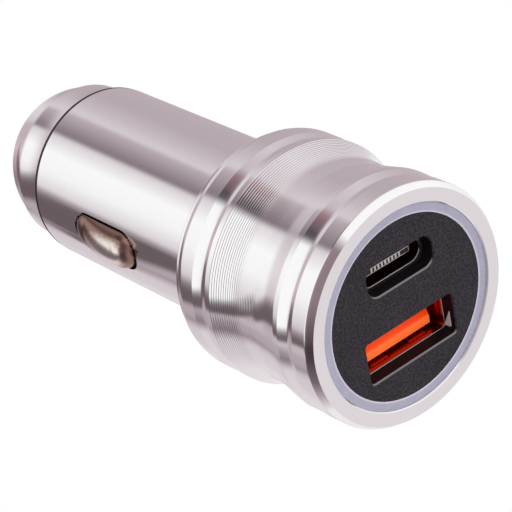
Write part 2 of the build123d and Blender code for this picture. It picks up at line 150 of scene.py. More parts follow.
class Shade:
    """A socket of a node tree. Arithmetic on it adds Math nodes, and node() adds any other."""

    def __init__(self, tree, socket=None):
        self.tree = tree
        self.socket = socket

    def node(self, kind, settings, inputs, output=0):
        added = self.tree.nodes.new("ShaderNode" + kind)
        for name, value in settings.items():
            if name == "stops":
                elements = added.color_ramp.elements
                elements.remove(elements[1])
                elements[0].position, elements[0].color = value[0]
                for place, colour in value[1:]:
                    elements.new(place).color = colour
            else:
                setattr(added, name, value)
        for name, value in inputs.items():
            if isinstance(value, Shade):
                self.tree.links.new(value.socket, added.inputs[name])
            else:
                added.inputs[name].default_value = value
        return Shade(self.tree, added.outputs[output] if added.outputs else None)

    def output(self, name):
        return Shade(self.tree, self.socket.node.outputs[name])

    def math(self, operation, first, second):
        return self.node("Math", {"operation": operation}, {0: first, 1: second})

    def __add__(self, other):
        return self.math("ADD", self, other)

    def __radd__(self, other):
        return self.math("ADD", other, self)

    def __sub__(self, other):
        return self.math("SUBTRACT", self, other)

    def __rsub__(self, other):
        return self.math("SUBTRACT", other, self)

    def __mul__(self, other):
        return self.math("MULTIPLY", self, other)

    def __rmul__(self, other):
        return self.math("MULTIPLY", other, self)

    def __pow__(self, other):
        return self.math("POWER", self, other)


def new_finish(name):
    """An empty material, and a first Shade to grow its nodes from."""
    material = bpy.data.materials.new(name)
    material.use_nodes = True
    material.node_tree.nodes.clear()
    return material, Shade(material.node_tree)


def surfaced(material, inputs):
    """Close a material with one surface that has these inputs, and return it."""
    start = Shade(material.node_tree)
    surface = start.node("BsdfPrincipled", {}, inputs)
    start.node("OutputMaterial", {}, {"Surface": surface})
    return material


def two_tone(share, first, second):
    """From the first colour to the second as the share goes from 0 to 1."""
    return share.node("Mix", {"data_type": "RGBA"}, {0: share, 6: first, 7: second}, 2)


def turned_aluminium():
    """Bright lathe-turned aluminium: fine marks run round the axis, on barrels and end faces."""
    material, start = new_finish("turned_aluminium")
    place = start.node("TexCoord", {}, {}, "Object")
    axes = start.node("SeparateXYZ", {}, {"Vector": place})
    x, y, z = axes.output("X"), axes.output("Y"), axes.output("Z")
    along = y + (x * x + z * z) ** 0.5
    marks = start.node(
        "TexNoise", {"noise_dimensions": "1D"},
        {"W": along, "Scale": 9000.0, "Detail": 3.0, "Roughness": 0.6},
    )
    specks = start.node("TexNoise", {}, {"Vector": place, "Scale": 1800.0, "Detail": 4.0})
    tone = two_tone(specks, (0.84, 0.835, 0.84, 1), (0.88, 0.875, 0.88, 1))
    normal = start.node("Bump", {}, {"Strength": 1.0, "Distance": 0.0004 * mm, "Height": marks})
    roughness = 0.08 + 0.04 * specks
    return surfaced(
        material, {"Base Color": tone, "Metallic": 1.0, "Roughness": roughness, "Normal": normal}
    )


def dress(piece, finish, slot, body, *nodes):
    """Give a piece its finish, let it ride and let it stand for its CAD nodes. The slot argument is not
    used.
    """
    piece.data.materials.append(finish)
    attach(piece, body)
    if nodes:
        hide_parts(*nodes)


def waist(y):
    """Radius of the smooth waist at y."""
    throat = (waist_radius, waist_middle, 0)
    if y < waist_middle:
        return eased((band_radius, band_back, waist_front_slope), throat, y)
    return eased(throat, (collar_radius, collar_front, waist_back_slope), y)


head_outline = [
    (collar_radius, head_back - back_slope_length, groove_round),
    (collar_radius - back_slope_depth, head_back, edge_round),
    (head_bore, head_back, 0),
    (head_bore, head_front + bore_break, 0),
    (head_bore + bore_break, head_front, edge_round),
    (band_radius - rim_chamfer_depth, head_front, edge_round),
    (band_radius, head_front + rim_chamfer_length, edge_round),
]
head_outline += groove(band_radius, band_groove_front, band_groove_back)
head_outline.append((band_radius, band_back, edge_round))
ring_start = collar_front - ring_count * ring_pitch
for step in range(1, smooth_steps):
    y = band_back + (ring_start - band_back) * step / smooth_steps
    head_outline.append((waist(y), y, 0))
for ring in range(ring_count):
    y = ring_start + ring * ring_pitch
    cut_y = y + ring_cut_share * ring_pitch
    dip = ring_depth * min(1, (ring + 1) / ring_fade_count)
    head_outline += [(waist(y), y, 0), (waist(cut_y) - dip, cut_y, 0)]
head_outline.append((collar_radius, collar_front, edge_round))
head_outline += groove(collar_radius, collar_groove_front, collar_groove_back)

aluminium = turned_aluminium()
head = turned("turned_head", head_outline, ring_crease)
dress(head, aluminium, "turned_aluminium", "housing", "head_shell")

# Barrel: aluminium tube turned with the stop flange and the spigot that the head sits on. A
# pill-shaped slot is milled through each side for the side contacts.
barrel_low, barrel_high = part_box("barrel_tube")
barrel_radius = 10.6 * mm
barrel_wall = 1.0 * mm
barrel_bore = barrel_radius - barrel_wall
flange_radius = barrel_high.x
spigot_radius = head_bore - fit_gap
barrel_end = barrel_high.y
slot_start = 11.75 * mm
slot_length = 11.85 * mm
slot_width = 5.2 * mm
flange_round = 0.12 * mm
# The round of a pill's ends, as a share of its width: just under half, so that no edge is lost
pill_round = 0.499
pill_steps = 20
barrel = turned("turned_barrel", [
    (barrel_bore, barrel_low.y, 0),
    (spigot_radius, barrel_low.y, 0),
    (spigot_radius, head_back, 0),
    (flange_radius, head_back, edge_round),
    (flange_radius, 0, flange_round),
    (barrel_radius, 0, 0),
    (barrel_radius, slot_start + slot_length / 2, 0),
    (barrel_radius, barrel_end, edge_round),
    (barrel_bore, barrel_end, 0),
])


def rounded_plate(shape, width, height, corner, place, steps=8):
    """A flat face with rounded corners, put in its place, and returned."""
    kept = set(shape.faces)
    corners = bmesh.ops.create_grid(shape, x_segments=1, y_segments=1, size=0.5)["verts"]
    bmesh.ops.scale(shape, vec=(width, height, 1), verts=corners)
    bmesh.ops.transform(shape, matrix=place, verts=corners)
    bmesh.ops.bevel(
        shape, geom=corners, offset=corner, affect="VERTICES", segments=steps, profile=0.5, material=-1
    )
    return next(face for face in shape.faces if face not in kept)


def extrude(shape, faces, reach):
    """Extrude faces along the reach."""
    swept = bmesh.ops.extrude_face_region(shape, geom=faces)["geom"]
    points = [part for part in swept if isinstance(part, bmesh.types.BMVert)]
    bmesh.ops.translate(shape, vec=reach, verts=points)


# From flat to the barrel's side: width along Y, height along Z, outwards along X
to_side = Matrix(((0, 0, 1), (1, 0, 0), (0, 1, 0))).to_4x4()
cutter_shape = bmesh.new()
slot_place = Matrix.Translation((-flange_radius, slot_start + slot_length / 2, 0)) @ to_side
slot_face = rounded_plate(
    cutter_shape, slot_length, slot_width, pill_round * slot_width, slot_place, pill_steps
)
extrude(cutter_shape, [slot_face], (2 * flange_radius, 0, 0))
cutter = make_piece(cutter_shape, "slot_cutter")
milling = barrel.modifiers.new("slots", "BOOLEAN")
milling.object = cutter
milling.solver = "EXACT"
barrel.modifiers.move(1, 0)
milled = barrel.evaluated_get(bpy.context.evaluated_depsgraph_get())
barrel.data = bpy.data.meshes.new_from_object(milled)
barrel.data.set_sharp_from_angle(angle=turn_crease)
barrel.modifiers.remove(milling)
bpy.data.objects.remove(cutter)
dress(barrel, aluminium, "turned_aluminium", "housing", "barrel_tube")

# Tail insulator: one moulding of dark nylon. Its plug sits in the barrel, its thin flange shows
# as the dark line in front of the cap, and its nose tube guides the centre contact.
insulator_low, insulator_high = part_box("tail_insulator")
gasket_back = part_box("tail_cap")[0].y
cap_end = insulator_high.y
cap_floor = cap_end - 3.4 * mm
spring_bore = 4.3 * mm
plug_radius = barrel_bore - 0.1 * mm
gasket_radius = insulator_high.x
stub_radius = 8.03 * mm
nose_radius = 3.9 * mm
pin_bore = 2.9 * mm
shoulder = cap_floor - 0.9 * mm
nose_round = 0.15 * mm


def moulded(name, colour, fleck, roughness, grain_depth):
    """Moulded plastic: fine flecks in its colour, and the same grain in its surface."""
    material, start = new_finish(name)
    place = start.node("TexCoord", {}, {}, "Object")
    grain = start.node(
        "TexNoise", {}, {"Vector": place, "Scale": 5200.0, "Detail": 3.0, "Roughness": 0.6}
    )
    flecks = start.node("MapRange", {}, {"Value": grain, "From Min": 0.38, "From Max": 0.66})
    normal = start.node("Bump", {}, {"Strength": 1.0, "Distance": grain_depth, "Height": grain})
    return surfaced(material, {
        "Base Color": two_tone(flecks, colour, fleck), "Roughness": roughness + 0.12 * grain,
        "Specular IOR Level": 0.35, "Normal": normal,
    })


black_nylon = moulded(
    "black_nylon", (0.010, 0.007, 0.007, 1), (0.026, 0.021, 0.021, 1), 0.5, 0.002 * mm
)
insulator = turned("tail_moulding", [
    (spring_bore, insulator_low.y, 0),
    (plug_radius, insulator_low.y, nose_round),
    (plug_radius, barrel_end, 0),
    (gasket_radius, barrel_end, 0),
    (gasket_radius, gasket_back, 0),
    (stub_radius, gasket_back, 0),
    (stub_radius, cap_floor, 0),
    (nose_radius, cap_floor, 0),
    (nose_radius, cap_end, nose_round),
    (pin_bore, cap_end, nose_round),
    (pin_bore, shoulder, 0),
    (spring_bore, shoulder, 0),
])
dress(insulator, black_nylon, "black_nylon", "housing", "tail_insulator")

# Tail cap: turned from the same aluminium bar, with a hollow tapered band, a small step
# and a domed nose. It is pressed on the insulator's stub.
cap_root_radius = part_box("tail_cap")[1].x
cap_edge_radius = cap_root_radius - 0.56 * mm
cap_edge_y = gasket_back + 4.55 * mm
cap_step_depth = 0.42 * mm
cap_step_length = 0.2 * mm
cap_root_break = 0.06 * mm
cap_root_length = 0.1 * mm
cap_nose_radius = 5.6 * mm
band_hollow = 0.07 * mm
cap_edge_round = 0.05 * mm
dome_fullness = 1.25
dome_steps = 24
band_steps = 10
band_start = gasket_back + cap_root_length
band_start_radius = cap_root_radius - cap_root_break
dome_radius = cap_edge_radius - cap_step_depth
dome_start = cap_edge_y + cap_step_length


def bowed(first, last, rise, steps):
    """Outline points between two (radius, y) points, bowed out from their chord by the rise."""
    (r1, y1), (r2, y2) = first, last
    chord = hypot(r2 - r1, y2 - y1)
    points = []
    for step in range(1, steps):
        share = step / steps
        bow = 4 * rise * share * (1 - share) / chord
        radius = r1 + (r2 - r1) * share + bow * (y2 - y1)
        y = y1 + (y2 - y1) * share - bow * (r2 - r1)
        points.append((radius, y, 0))
    return points


cap_outline = [
    (nose_radius + fit_gap, cap_end, 0),
    (nose_radius + fit_gap, cap_floor, 0),
    (stub_radius + fit_gap, cap_floor, 0),
    (stub_radius + fit_gap, gasket_back, 0),
    (cap_root_radius, gasket_back, 0),
    (band_start_radius, band_start, cap_edge_round),
]
cap_outline += bowed(
    (band_start_radius, band_start), (cap_edge_radius, cap_edge_y), -band_hollow, band_steps
)
cap_outline.append((cap_edge_radius, cap_edge_y, cap_edge_round))
for step in range(dome_steps + 1):
    bend = pi / 2 * step / dome_steps
    radius = cap_nose_radius + (dome_radius - cap_nose_radius) * max(0, cos(bend)) ** dome_fullness
    y = dome_start + (cap_end - dome_start) * sin(bend) ** dome_fullness
    cap_outline.append((radius, y, 0))
dress(turned("turned_cap", cap_outline), aluminium, "turned_aluminium", "housing", "tail_cap")

# Centre contact: nickel-plated pin with a rounded tip, stopped by its collar. Behind it lie the
# coil spring of drawn wire and the brass terminal that brings the current to the board.
pin_low, pin_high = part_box("centre_contact")
pin_radius = 2.8 * mm
pin_tip_round = 1.9 * mm
pin_collar_radius = pin_high.x
pin_boss_radius = 2.2 * mm
pin_collar_start = pin_low.y + 1.5 * mm
pin_collar_end = pin_collar_start + 1.2 * mm
pin_edge_round = 0.1 * mm
coil_low, coil_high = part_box("contact_spring")
coil_length = coil_high.y - coil_low.y
wire_radius = 0.35 * mm
coil_radius = coil_high.x - wire_radius
coil_turns = 5
steps_a_turn = 48
coil_steps = steps_a_turn * coil_turns
wire_sides = 12


def plated(name, colour, tarnish, roughness):
    """Plated or drawn metal: clouds of slight tarnish, and hairline scuffs along the plug."""
    material, start = new_finish(name)
    place = start.node("TexCoord", {}, {}, "Object")
    clouds = start.node(
        "TexNoise", {}, {"Vector": place, "Scale": 420.0, "Detail": 5.0, "Roughness": 0.65}
    )
    stretch = start.node("Mapping", {}, {"Vector": place, "Scale": (9.0, 0.6, 9.0)})
    scuffs = start.node("TexNoise", {}, {"Vector": stretch, "Scale": 900.0, "Detail": 4.0})
    normal = start.node("Bump", {}, {"Strength": 1.0, "Distance": 0.0012 * mm, "Height": scuffs})
    return surfaced(material, {
        "Base Color": two_tone(clouds, colour, tarnish), "Metallic": 1.0,
        "Roughness": roughness + 0.1 * scuffs, "Normal": normal,
    })


def finish_nodes(finish, *nodes):
    """Give a finish to pieces that show as their CAD solids."""
    for node in nodes:
        for material_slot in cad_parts[node].material_slots:
            material_slot.material = finish


nickel = plated("nickel_plate", (0.72, 0.64, 0.58, 1), (0.52, 0.43, 0.38, 1), 0.2)
pin = turned("tip_pin", [
    (0, pin_low.y, 0),
    (pin_boss_radius, pin_low.y, pin_edge_round),
    (pin_boss_radius, pin_collar_start, 0),
    (pin_collar_radius, pin_collar_start, pin_edge_round),
    (pin_collar_radius, pin_collar_end, pin_edge_round),
    (pin_radius, pin_collar_end, 0),
    (pin_radius, pin_high.y, pin_tip_round),
    (0, pin_high.y, 0),
])
dress(pin, nickel, "nickel_plate", "centre_pin", "centre_contact")

coil_shape = bmesh.new()
bmesh.ops.create_circle(
    coil_shape, segments=wire_sides, radius=wire_radius,
    matrix=Matrix.Translation((coil_radius, coil_low.y + wire_radius, 0)),
)
bmesh.ops.spin(
    coil_shape, geom=coil_shape.verts[:] + coil_shape.edges[:], cent=(0, 0, 0), axis=(0, 1, 0),
    dvec=(0, (coil_length - 2 * wire_radius) / coil_steps, 0), angle=2 * pi * coil_turns,
    steps=coil_steps,
)
wire_ends = [edge for edge in coil_shape.edges if edge.is_boundary]
bmesh.ops.holes_fill(coil_shape, edges=wire_ends, sides=0)
spring_wire = plated("spring_wire", (0.62, 0.62, 0.64, 1), (0.48, 0.48, 0.50, 1), 0.28)
coil = make_piece(coil_shape, "tip_spring")
dress(coil, spring_wire, "spring_steel", "housing", "contact_spring")
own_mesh(coil)
brass_sheet = plated("brass_sheet", (0.80, 0.60, 0.28, 1), (0.62, 0.44, 0.20, 1), 0.25)
finish_nodes(brass_sheet, "positive_terminal")

# Side contacts: two pads stamped from nickel-plated spring strip, crowned along and domed across,
# each on a short leaf with a rolled root that snaps into the carrier. They stand out of the slots.
pad_low, pad_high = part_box("ground_contact_right")
pad_gap = 0.25 * mm
pad_width = slot_width - 2 * pad_gap
pad_nose = pad_low.y
pad_tail = slot_start + slot_length - pad_gap
pad_base = barrel_radius - 1.55 * mm
pad_shoulder = barrel_radius - 0.5 * mm
pad_peak = pad_high.x
pad_peak_y = pad_nose + 3.0 * mm
pad_nose_bend = 4.0 * mm
pad_tail_bend = 18.0 * mm
pad_fullness = 2.1
pad_sheet = 0.45 * mm
pad_rings = 12
pad_cuts = 30
highlight_start = barrel_radius + 0.7 * mm
highlight_wander = 0.6 * mm
leaf_width = 3.0 * mm
leaf_round = 0.08 * mm
root_radius = 0.55 * mm
root_length = 3.2 * mm
root_x = barrel_radius - 1.8 * mm
root_y = pad_high.y - root_radius


def smooth_share(value, low, high):
    """From 0 to 1, easing in and out, as the value goes from low to high."""
    return value.node(
        "MapRange", {"interpolation_type": "SMOOTHSTEP"},
        {"Value": value, "From Min": low, "From Max": high},
    )


def nickel_painted_highlight():
    """Nickel plate with a painted highlight along the crest, brighter with height, and painted dark
    brown shade on its flanks.
    """
    material, start = new_finish("nickel_painted_highlight")
    place = start.node("TexCoord", {}, {}, "Object")
    x = start.node("SeparateXYZ", {}, {"Vector": place})
    grain = start.node(
        "TexNoise", {}, {"Vector": place, "Scale": 2600.0, "Detail": 4.0, "Roughness": 0.6}
    )
    # Painted highlight and shade: dark brown low on the flanks, near white high on the crest, by height
    # above the barrel
    crest_highlight = smooth_share((x * x) ** 0.5 + highlight_wander * (grain - 0.5), highlight_start, pad_peak)
    tone = two_tone(crest_highlight, (0.28, 0.175, 0.14, 1), (0.97, 0.92, 0.86, 1))
    normal = start.node("Bump", {}, {"Strength": 1.0, "Distance": 0.003 * mm, "Height": grain})
    roughness = 0.18 + 0.12 * grain
    return surfaced(
        material, {"Base Color": tone, "Metallic": 1.0, "Roughness": roughness, "Normal": normal}
    )


def domed(point):
    """Lift a point of the flat pad on its crowned and domed form."""
    half = pad_width / 2
    spine_y = min(max(point.y, pad_nose + half), pad_tail - half)
    reach = spine_y - pad_peak_y
    crest = pad_peak - reach * reach / (2 * (pad_nose_bend if reach < 0 else pad_tail_bend))
    off_spine = min(1, hypot(point.y - spine_y, point.z) / half)
    return pad_shoulder + (crest - pad_shoulder) * (1 - off_spine ** pad_fullness) ** (1 / pad_fullness)


def contact_pad(name, side):
    """The hollow pad: a pill-shaped outline, drawn in ring by ring to its spine and domed."""
    shape = bmesh.new()
    place = Matrix.Translation((pad_base, (pad_nose + pad_tail) / 2, 0)) @ to_side
    blank = rounded_plate(
        shape, pad_tail - pad_nose, pad_width, pill_round * pad_width, place, pill_steps
    )
    outline = blank.edges[:]
    shape.faces.remove(blank)
    long_edges = [edge for edge in outline if edge.calc_length() > pad_width]
    bmesh.ops.subdivide_edges(shape, edges=long_edges, cuts=pad_cuts)
    loop = shape.edges[:]
    skirt = shape.verts[:]
    half = pad_width / 2
    widths = [1] + [cos(pi / 2 * ring / pad_rings) for ring in range(pad_rings)] + [0]
    for outer, inner in zip(widths, widths[1:]):
        grown = bmesh.ops.extrude_edge_only(shape, edges=loop)["geom"]
        for point in (part for part in grown if isinstance(part, bmesh.types.BMVert)):
            spine_y = min(max(point.co.y, pad_nose + half), pad_tail - half)
            point.co.y = spine_y + (point.co.y - spine_y) * inner / outer
            point.co.z *= inner / outer
        loop = [part for part in grown if isinstance(part, bmesh.types.BMEdge) and part.is_boundary]
    for point in shape.verts:
        point.co.x = domed(point.co)
    for point in skirt:
        point.co.x = pad_base
    bmesh.ops.scale(shape, vec=(side, 1, 1), verts=shape.verts)
    pad = make_piece(shape, name)
    sheet = pad.modifiers.new("sheet", "SOLIDIFY")
    sheet.thickness = pad_sheet
    sheet.offset = -1
    return pad


def contact_leaf(name, side):
    """The leaf behind the pad, and the rolled root that it springs about."""
    shape = bmesh.new()
    leaf = bmesh.ops.create_cube(shape, size=1)["verts"]
    leaf_start = pad_tail - 2 * pad_sheet
    bmesh.ops.scale(shape, vec=(pad_sheet, root_y - leaf_start, leaf_width), verts=leaf)
    bmesh.ops.translate(shape, vec=(pad_base, (root_y + leaf_start) / 2, 0), verts=leaf)
    root = bmesh.ops.create_cone(
        shape, segments=32, cap_ends=True, radius1=root_radius, radius2=root_radius, depth=root_length
    )["verts"]
    bmesh.ops.translate(shape, vec=(root_x, root_y, 0), verts=root)
    sharp = [edge for edge in shape.edges if edge.calc_face_angle(0) > turn_crease]
    bmesh.ops.bevel(
        shape, geom=sharp, offset=leaf_round, affect="EDGES", segments=2, profile=0.5, material=-1
    )
    bmesh.ops.scale(shape, vec=(side, 1, 1), verts=shape.verts)
    return make_piece(shape, name)


# The pads' nickel has its crest highlight and the shade of its flanks painted into its colour
crest_highlight = nickel_painted_highlight()
for body, side in (("right", 1), ("left", -1)):
    pad = contact_pad(body + "_pad", side)
    dress(pad, crest_highlight, "nickel_plate", body + "_contact", "ground_contact_" + body)
    dress(contact_leaf(body + "_leaf", side), nickel, "nickel_plate", body + "_contact")

# Inside the barrel: the nylon carrier, the main board in its slots, and what is soldered on it,
# moulded, canned or fired. The port board stands across the head, with the lamps on its front.
board_green = moulded("board_laminate", (0.010, 0.11, 0.04, 1), (0.02, 0.16, 0.06, 1), 0.35, 0.001 * mm)
dark_resin = moulded("moulded_ferrite", (0.02, 0.02, 0.022, 1), (0.05, 0.05, 0.055, 1), 0.5, 0.004 * mm)
fired_tan = moulded("tan_ceramic", (0.36, 0.25, 0.15, 1), (0.50, 0.38, 0.26, 1), 0.4, 0.002 * mm)
lamp_resin = moulded("lamp_lens", (0.85, 0.83, 0.68, 1), (0.92, 0.91, 0.82, 1), 0.15, 0.001 * mm)
can_metal = plated("capacitor_can", (0.80, 0.80, 0.82, 1), (0.70, 0.70, 0.72, 1), 0.25)
finish_nodes(black_nylon, "board_carrier")
finish_nodes(board_green, "circuit_board", "port_board")
finish_nodes(dark_resin, "power_inductor", "controller_chip")
finish_nodes(can_metal, "input_capacitor", "output_capacitor")
finish_nodes(fired_tan, "ceramic_capacitors")
finish_nodes(lamp_resin, "status_lamps")

# Light ring: a tube of milky plastic that takes the lamps' light to the face. It fills the head's
# bore round the face plate, and its inner front edge is rounded.
guide_low, guide_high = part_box("light_ring")
guide_gap = 0.005 * mm
guide_wall = 1.1 * mm
guide_outer = head_bore - guide_gap
guide_inner = guide_high.x - guide_wall
guide_round = 0.06 * mm
pale_from = guide_inner + 0.3 * mm
pale_to = guide_inner + 0.06 * mm


def milky_plastic():
    """Milky plastic, paler towards its inner edge, where the light from the lamps gathers."""
    material, start = new_finish("light_guide")
    place = start.node("TexCoord", {}, {}, "Object")
    axes = start.node("SeparateXYZ", {}, {"Vector": place})
    x, z = axes.output("X"), axes.output("Z")
    radius = (x * x + z * z) ** 0.5
    clouds = start.node("TexNoise", {}, {"Vector": place, "Scale": 700.0, "Detail": 3.0})
    share = 0.75 * smooth_share(radius, pale_from, pale_to) + 0.25 * clouds
    return surfaced(material, {
        "Base Color": two_tone(share, (0.25, 0.255, 0.325, 1), (0.47, 0.46, 0.53, 1)),
        "Roughness": 0.3 + 0.1 * clouds, "Subsurface Weight": 0.15,
        "Subsurface Radius": (0.4 * mm, 0.4 * mm, 0.5 * mm), "Subsurface Scale": 1.0,
    })


guide = turned("milky_ring", [
    (guide_inner, guide_high.y, 0),
    (guide_inner, guide_low.y, guide_round),
    (guide_outer, guide_low.y, 0),
    (guide_outer, guide_high.y, 0),
])
dress(guide, milky_plastic(), "light_guide", "housing", "light_ring")

# Face plate: one black moulding with a spark-eroded front, both port openings and a skirt.
# Faces turned up towards the front, such as the openings' lower edges, carry a painted highlight,
# and faces turned away from the front, such as the openings' walls, a painted shade.
spark_depth = 0.012 * mm


def sparked_face():
    """Black plastic with a fine sparkle, a painted highlight on faces turned up and forward, and
    painted shade on the walls.
    """
    material, start = new_finish("black_face")
    coordinates = start.node("TexCoord", {}, {}, "Object")
    sparks = start.node(
        "TexNoise", {}, {"Vector": coordinates, "Scale": 3800.0, "Detail": 2.0, "Roughness": 0.7}
    )
    clouds = start.node("TexNoise", {}, {"Vector": coordinates, "Scale": 260.0, "Detail": 2.0})
    sparkle = sparks + 0.12 * clouds
    lit = start.node("MapRange", {}, {"Value": sparkle, "From Min": 0.45, "From Max": 0.8})
    tone = two_tone(lit, (0.004, 0.003, 0.005, 1), (0.034, 0.029, 0.037, 1))
    facing = start.node("SeparateXYZ", {}, {"Vector": coordinates.output("Normal")})
    # Painted highlight: faces turned up towards the front, such as the openings' lower edges, are
    # painted lighter
    edge = smooth_share(-1.0 * facing.output("Y") * facing.output("Z"), 0.25, 0.45)
    tone = two_tone(edge, tone, (0.13, 0.115, 0.12, 1))
    # Painted shade: faces turned away from the front, such as the openings' walls, are painted near
    # black
    wall_shade = smooth_share(-1.0 * facing.output("Y"), 0.6, 0.3)
    tone = two_tone(wall_shade, tone, (0.002, 0.0015, 0.002, 1))
    normal = start.node("Bump", {}, {"Strength": 0.6, "Distance": spark_depth, "Height": sparks})
    return surfaced(material, {
        "Base Color": tone, "Roughness": 0.62 - 0.3 * edge, "Specular IOR Level": 0.3, "Normal": normal,
    })


finish_nodes(sparked_face(), "face_plate")

# Larger port: a shell bent from plated steel, painted dark red inside as painted shade and a painted
# reflection of the tongue, with a grey sheet on its side wall as a painted highlight. An orange
# moulded tongue with bevelled nose, with a painted sheen, carries four gilt contact strips.
tongue_low, tongue_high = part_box("usb_a_tongue")
shell_low, shell_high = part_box("usb_a_shell")
tongue_width = 10.6 * mm
tongue_height = 1.8 * mm
tongue_under = tongue_low.z + 0.43 * mm
tongue_top = tongue_under + tongue_height
tongue_nose_height = 0.85 * mm
tongue_nose_slope = 0.36 * mm
tongue_round = 0.1 * mm
sheen_low = 0.05 * mm
sheen_high = 0.45 * mm
sheen_wander = 0.1 * mm
block_depth = 2.0 * mm
block_corner = 0.5 * mm
shell_wall = 0.3 * mm
shell_corner = 0.3 * mm
shade_start = 0.02 * mm
shade_full = 0.14 * mm
glint_depth = 1.0 * mm
glint_height = 2.25 * mm
glint_corner = 0.35 * mm
glint_sheet = 0.05 * mm
glint_sink = 0.05 * mm
glint_bite = 0.08 * mm
lip_width = 0.13 * mm
lip_depth = 0.12 * mm
lip_round = 0.06 * mm
lip_steps = 10
lip_crease = radians(75)


def shell_steel():
    """Plated steel sheet: bright at the cut front edge, painted dark red further in as painted shade
    and a painted reflection of the orange tongue.
    """
    material, start = new_finish("shell_steel")
    place = start.node("TexCoord", {}, {}, "Object")
    axes = start.node("SeparateXYZ", {}, {"Vector": place})
    clouds = start.node("TexNoise", {}, {"Vector": place, "Scale": 900.0, "Detail": 4.0})
    # Painted shade and reflection: the colour darkens to deep red with depth into the port
    inner_shade = smooth_share(axes.output("Y") - shell_low.y, shade_start, shade_full)
    tone = two_tone(inner_shade, (0.70, 0.67, 0.66, 1), (0.42, 0.045, 0.02, 1))
    return surfaced(
        material, {"Base Color": tone, "Metallic": 1.0, "Roughness": 0.22 + 0.15 * clouds}
    )


def orange_painted_sheen():
    """Orange plastic, painted paler on its upright nose than on the slope above, as a painted sheen."""
    material, start = new_finish("orange_plastic")
    place = start.node("TexCoord", {}, {}, "Object")
    axes = start.node("SeparateXYZ", {}, {"Vector": place})
    grain = start.node("TexNoise", {}, {"Vector": place, "Scale": 2600.0, "Detail": 3.0})
    nose_edge = tongue_under + tongue_nose_height
    height = axes.output("Z") + sheen_wander * grain
    # Painted sheen: the upright nose is painted paler than the slope above it
    nose_sheen = smooth_share(height, nose_edge + sheen_high, nose_edge + sheen_low)
    normal = start.node("Bump", {}, {"Strength": 1.0, "Distance": 0.002 * mm, "Height": grain})
    return surfaced(material, {
        "Base Color": two_tone(nose_sheen, (0.94, 0.06, 0.003, 1), (1.0, 0.17, 0.035, 1)),
        "Roughness": 0.4 + 0.1 * grain, "Specular IOR Level": 0.25, "Normal": normal,
    })


steel = shell_steel()
finish_nodes(steel, "usb_a_shell", "usb_c_shell")

tongue_shape = bmesh.new()
profile = [
    (tongue_high.y - block_depth, tongue_under),
    (tongue_low.y, tongue_under),
    (tongue_low.y, tongue_under + tongue_nose_height),
    (tongue_low.y + tongue_nose_slope, tongue_top),
    (tongue_high.y - block_depth, tongue_top),
]
corners = [tongue_shape.verts.new((-tongue_width / 2, y, z)) for y, z in profile]
nose = tongue_shape.faces.new(corners)
extrude(tongue_shape, [nose], (tongue_width, 0, 0))
bmesh.ops.recalc_face_normals(tongue_shape, faces=tongue_shape.faces)
bmesh.ops.bevel(
    tongue_shape, geom=tongue_shape.edges[:], offset=tongue_round, affect="EDGES", segments=3,
    profile=0.5, material=-1,
)
# From flat to across the plug: width along X, height along Z, outwards from the face
to_front = Matrix.Rotation(pi / 2, 4, "X")
block_middle = Vector((0, tongue_high.y, (tongue_low.z + tongue_high.z) / 2))
block = rounded_plate(
    tongue_shape, tongue_high.x - tongue_low.x, tongue_high.z - tongue_low.z, block_corner,
    Matrix.Translation(block_middle) @ to_front,
)
extrude(tongue_shape, [block], (0, -block_depth, 0))
tongue = make_piece(tongue_shape, "orange_tongue")
dress(tongue, orange_painted_sheen(), "orange_plastic", "housing", "usb_a_tongue")
gilt = plated("gold_plate", (0.90, 0.72, 0.40, 1), (0.76, 0.58, 0.30, 1), 0.2)
finish_nodes(gilt, "usb_a_contacts", "usb_c_contacts")

bright_steel = plated("bare_steel", (0.74, 0.70, 0.70, 1), (0.60, 0.56, 0.56, 1), 0.3)
# A grey sheet on the shell's right wall near its floor: a painted highlight where the wall and corner
# catch the light
glint_shape = bmesh.new()
glint_front = shell_low.y - glint_depth
glint_foot = shell_low.z + shell_wall - glint_sink
glint_profile = [
    (glint_front, glint_foot + glint_height),
    (glint_front, glint_foot + glint_corner),
    (glint_front + glint_corner, glint_foot),
    (shell_low.y, glint_foot),
    (shell_low.y, glint_foot + glint_corner),
]
glint_x = shell_high.x - shell_wall + glint_bite
glint = glint_shape.faces.new([glint_shape.verts.new((glint_x, y, z)) for y, z in glint_profile])
extrude(glint_shape, [glint], (glint_sheet, 0, 0))
glint_grey = moulded("glint_grey", (0.42, 0.38, 0.385, 1), (0.52, 0.47, 0.475, 1), 0.45, 0.001 * mm)
dress(make_piece(glint_shape, "painted_glint_sheet"), glint_grey, "shell_steel", "housing")


def rolled_lip(name, width, height, corner, centre):
    """The rounded front edge of a shell, as a thin rim that catches the light."""
    shape = bmesh.new()
    rim = rounded_plate(shape, width, height, corner, Matrix.Translation(centre) @ to_front, lip_steps)
    bmesh.ops.inset_region(
        shape, faces=[rim], thickness=lip_width, use_boundary=True, use_even_offset=True
    )
    shape.faces.remove(rim)
    edges = [edge for edge in shape.edges if edge.is_boundary]
    extruded_rim = bmesh.ops.extrude_edge_only(shape, edges=edges)["geom"]
    bmesh.ops.translate(
        shape, vec=(0, lip_depth, 0),
        verts=[part for part in extruded_rim if isinstance(part, bmesh.types.BMVert)],
    )
    bmesh.ops.bevel(
        shape, geom=edges, offset=lip_round, affect="EDGES", segments=3, profile=0.5, material=-1
    )
    lip = make_piece(shape, name, lip_crease)
    dress(lip, bright_steel, "shell_steel", "housing")


rolled_lip(
    "wide_port_lip", 2 * shell_high.x - 2 * shell_wall + 2 * lip_width,
    shell_high.z - shell_low.z - 2 * shell_wall + 2 * lip_width, shell_corner,
    Vector((0, shell_low.y - lip_round, (shell_low.z + shell_high.z) / 2)),
)

